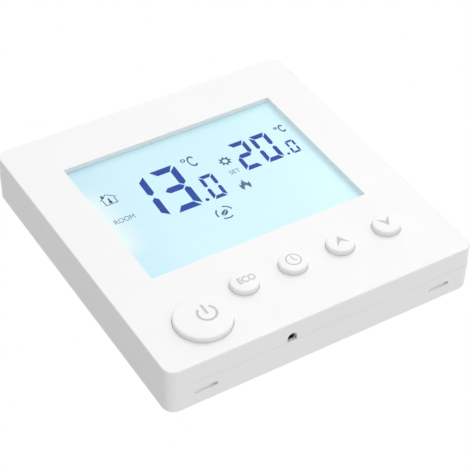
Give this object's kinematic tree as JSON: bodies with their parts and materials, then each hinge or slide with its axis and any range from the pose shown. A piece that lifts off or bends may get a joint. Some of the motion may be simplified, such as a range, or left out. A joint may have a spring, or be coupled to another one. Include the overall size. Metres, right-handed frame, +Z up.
{
  "type": "wall thermostat",
  "caption": "Flush-mounted wall thermostat: a thin square white display unit with a backlit segment display and round push buttons, on a plate with an in-wall power box.",
  "frame": {"origin": "centre of the mounting plate's back face, on the wall's surface", "axes": "+Y into the wall, +Z up towards the top of the display, +X to the right as seen from the room; the front face looks along -Y"},
  "size_m": [0.0862, 0.0365, 0.0902],
  "materials": {
    "cover_white": "fine satin moulded ABS, white",
    "shell_white": "fine satin moulded ABS, white",
    "cap_white": "satin moulded ABS, white, with a light grey printed icon",
    "foam_grey": "closed-cell foam strip",
    "polariser": "pale cyan backlit display surface with blue segments",
    "clear_glass": "thin clear glass",
    "diffuser": "milky film",
    "acrylic": "polished clear acrylic",
    "reflector": "matt white film",
    "led_body": "white package with a yellow lens",
    "frame_plastic": "matt white moulded plastic",
    "elastomer": "soft pink elastomer with black conducting layers",
    "board_green": "green solder mask on glass fibre board",
    "chip_black": "matt black moulded package with tinned leads",
    "tinned": "tinned steel",
    "chip_resistor": "black chip with tinned ends",
    "chip_capacitor": "tan ceramic chip with tinned ends",
    "gold_pin": "gold-flashed square pins",
    "bead_black": "black epoxy",
    "switch_black": "matt black nylon",
    "plate_white": "matt off-white moulded plastic",
    "screw_steel": "zinc-plated steel",
    "terminal_green": "green polyamide",
    "relay_blue": "blue moulded case",
    "ferrite": "dark grey ferrite",
    "coil_tape": "yellow polyester tape over the winding",
    "sleeve_navy": "dark blue shrink sleeve with an aluminium top",
    "film_yellow": "yellow moulded case",
    "varistor_blue": "blue epoxy",
    "fuse_black": "black moulded case"
  },
  "bodies": {
    "base": {"mounting_plate": "plate_white", "power_box": "plate_white", "box_screws": "screw_steel", "power_pcb": "board_green", "pcb_screws": "screw_steel", "terminal_block": "terminal_green", "terminal_clamps": "tinned", "terminal_screws": "screw_steel", "relay": "relay_blue", "transformer_core": "ferrite", "transformer_coil": "coil_tape", "bulk_capacitor": "sleeve_navy", "output_capacitor": "sleeve_navy", "film_capacitor": "film_yellow", "varistor": "varistor_blue", "fuse": "fuse_black", "power_chip": "chip_black", "socket_header": "switch_black"},
    "display_unit": {"front_cover": "cover_white", "rear_shell": "shell_white", "case_screws": "screw_steel", "lcd_gasket": "foam_grey", "lcd_polariser": "polariser", "lcd_front_glass": "clear_glass", "lcd_rear_glass": "clear_glass", "diffuser_film": "diffuser", "light_guide": "acrylic", "reflector_sheet": "reflector", "backlight_leds": "led_body", "lcd_frame": "frame_plastic", "zebra_strip": "elastomer", "main_pcb": "board_green", "mcu_chip": "chip_black", "lcd_driver_chip": "chip_black", "clock_crystal": "tinned", "backup_cell": "tinned", "smd_resistors": "chip_resistor", "smd_capacitors": "chip_capacitor", "header_base": "switch_black", "header_pins": "gold_pin", "sensor_bead": "bead_black", "sensor_leads": "tinned", "switch_bodies": "switch_black"},
    "power_button": {"power_cap": "cap_white", "power_plunger": "switch_black"},
    "eco_button": {"eco_cap": "cap_white", "eco_plunger": "switch_black"},
    "clock_button": {"clock_cap": "cap_white", "clock_plunger": "switch_black"},
    "up_button": {"up_cap": "cap_white", "up_plunger": "switch_black"},
    "down_button": {"down_cap": "cap_white", "down_plunger": "switch_black"}
  },
  "joints": [
    {"name": "display_lift", "type": "slide", "parent": "base", "child": "display_unit", "axis": [0, -1, 0], "range_m": [0, 0.025]},
    {"name": "power_press", "type": "slide", "parent": "display_unit", "child": "power_button", "axis": [0, 1, 0], "range_m": [0, 0.0004], "stiffness_N_per_m": 600},
    {"name": "eco_press", "type": "slide", "parent": "display_unit", "child": "eco_button", "axis": [0, 1, 0], "range_m": [0, 0.0004], "stiffness_N_per_m": 600},
    {"name": "clock_press", "type": "slide", "parent": "display_unit", "child": "clock_button", "axis": [0, 1, 0], "range_m": [0, 0.0004], "stiffness_N_per_m": 600},
    {"name": "up_press", "type": "slide", "parent": "display_unit", "child": "up_button", "axis": [0, 1, 0], "range_m": [0, 0.0004], "stiffness_N_per_m": 600},
    {"name": "down_press", "type": "slide", "parent": "display_unit", "child": "down_button", "axis": [0, 1, 0], "range_m": [0, 0.0004], "stiffness_N_per_m": 600}
  ]
}
